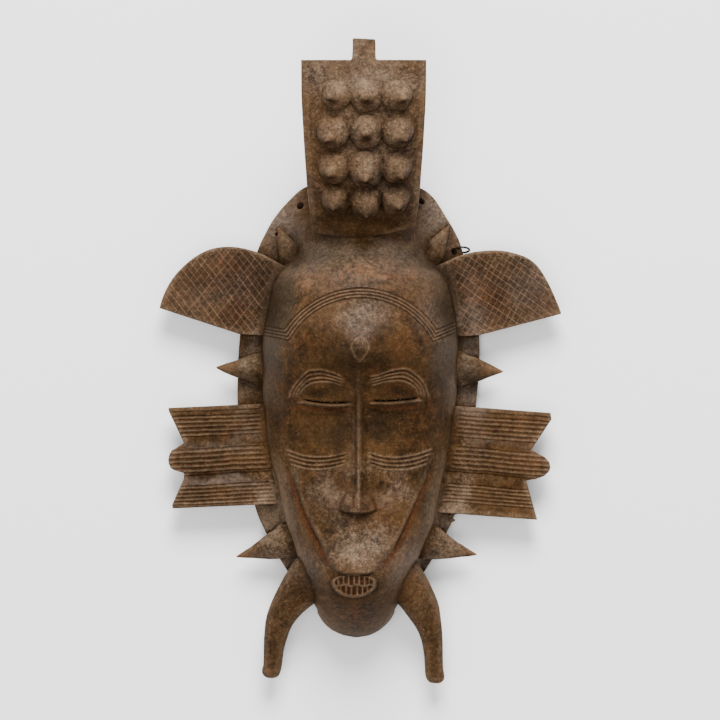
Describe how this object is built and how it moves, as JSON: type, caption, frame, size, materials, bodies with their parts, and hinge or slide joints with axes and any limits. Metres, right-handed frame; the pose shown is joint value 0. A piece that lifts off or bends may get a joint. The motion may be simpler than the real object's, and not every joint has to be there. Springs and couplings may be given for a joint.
{
  "type": "carved wooden face mask with crest",
  "caption": "Carved wooden face mask, hollow behind, with a leaning crest panel set with pointed bosses, side wings, grooved side combs, spikes and horns.",
  "frame": {"origin": "on the flat back plane, under the middle of the whole mask", "axes": "+Z out of the face, +Y from the chin to the crest, +X to the viewer's right when the mask is seen from the front"},
  "size_m": [0.2232, 0.3544, 0.1084],
  "materials": {
    "wood": "dark worn hand-carved wood, satin patina",
    "wire": "blackened wire"
  },
  "bodies": {
    "root": {"carved_wood_mask": "wood", "rim_wire_loop": "wire"}
  },
  "joints": []
}
